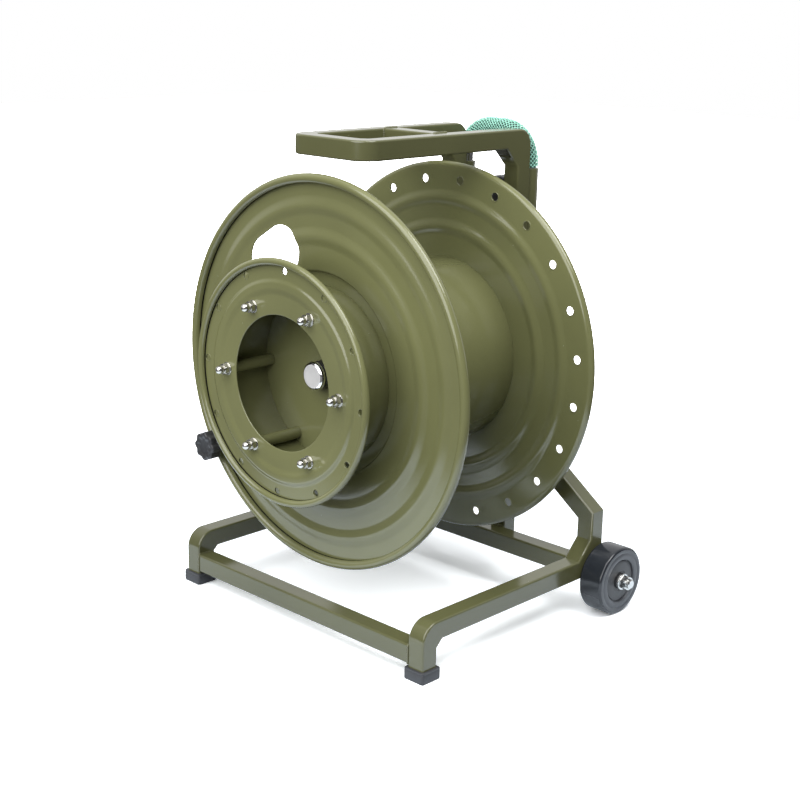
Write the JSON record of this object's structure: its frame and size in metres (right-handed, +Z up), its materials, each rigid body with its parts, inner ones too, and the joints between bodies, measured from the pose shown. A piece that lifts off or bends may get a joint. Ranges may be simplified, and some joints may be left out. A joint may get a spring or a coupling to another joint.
{
  "type": "fiber optic cable reel",
  "caption": "Metal cable reel: ribbed flanged drum with an open pilot drum, on a square-tube stand with wheels, carry handle and pull handle.",
  "frame": {"origin": "on the floor, under the middle of the whole reel", "axes": "+Z up; the drum axis is along Y, the open pilot drum faces -Y and the wheels are at +Y"},
  "size_m": [0.422, 0.3286, 0.4813],
  "materials": {
    "olive_paint": "semi-gloss olive green paint",
    "black_paint": "semi-gloss black paint",
    "black_rubber": "matt moulded rubber",
    "black_plastic": "matt moulded plastic",
    "wheel_rubber": "smooth glossy hard rubber",
    "chrome": "bright plated",
    "zinc_steel": "bright zinc-plated",
    "green_net": "mint green plastic net"
  },
  "bodies": {
    "frame": {"side_tube_left": "olive_paint", "side_tube_right": "olive_paint", "upright_left": "olive_paint", "upright_right": "olive_paint", "foot_left": "black_rubber", "foot_right": "black_rubber", "socket_left": "olive_paint", "socket_right": "olive_paint", "front_cross_tube": "olive_paint", "rear_cross_tube": "olive_paint", "handle_front_bar": "olive_paint", "handle_cross_bar": "olive_paint", "axle": "zinc_steel", "axle_plate": "olive_paint", "axle_cap": "chrome", "drum_lock": "black_plastic", "wheel_bracket_left": "olive_paint", "wheel_bracket_right": "olive_paint", "wheel_bolt_left": "zinc_steel", "wheel_bolt_right": "zinc_steel"},
    "drum": {"front_flange": "olive_paint", "rear_flange": "olive_paint", "pilot_flange": "olive_paint", "main_core": "olive_paint", "pilot_core": "olive_paint", "hub": "black_paint", "main_pillars": "olive_paint", "pilot_pillars": "olive_paint", "acorn_nuts": "zinc_steel", "rear_nuts": "zinc_steel", "knob_stud": "zinc_steel"},
    "hand_knob": {"hand_knob": "black_plastic"},
    "wheel_left": {"wheel_left": "wheel_rubber"},
    "wheel_right": {"wheel_right": "wheel_rubber"},
    "pull_handle": {"pull_handle": "chrome", "net_sleeve": "green_net"}
  },
  "joints": [
    {"name": "drum_spin", "type": "hinge", "parent": "frame", "child": "drum", "pos_m": [0, -0.01383, 0.251], "axis": [0, 1, 0], "continuous": true},
    {"name": "knob_spin", "type": "hinge", "parent": "drum", "child": "hand_knob", "pos_m": [-0.1424, -0.11382, 0.15276], "axis": [0, 1, 0], "continuous": true},
    {"name": "wheel_left_spin", "type": "hinge", "parent": "frame", "child": "wheel_left", "pos_m": [-0.1845, 0.12957, 0.03475], "axis": [1, 0, 0], "continuous": true},
    {"name": "wheel_right_spin", "type": "hinge", "parent": "frame", "child": "wheel_right", "pos_m": [0.1845, 0.12957, 0.03475], "axis": [1, 0, 0], "continuous": true},
    {"name": "handle_slide", "type": "slide", "parent": "frame", "child": "pull_handle", "axis": [0, 0, 1], "range_m": [0, 0.28]}
  ]
}
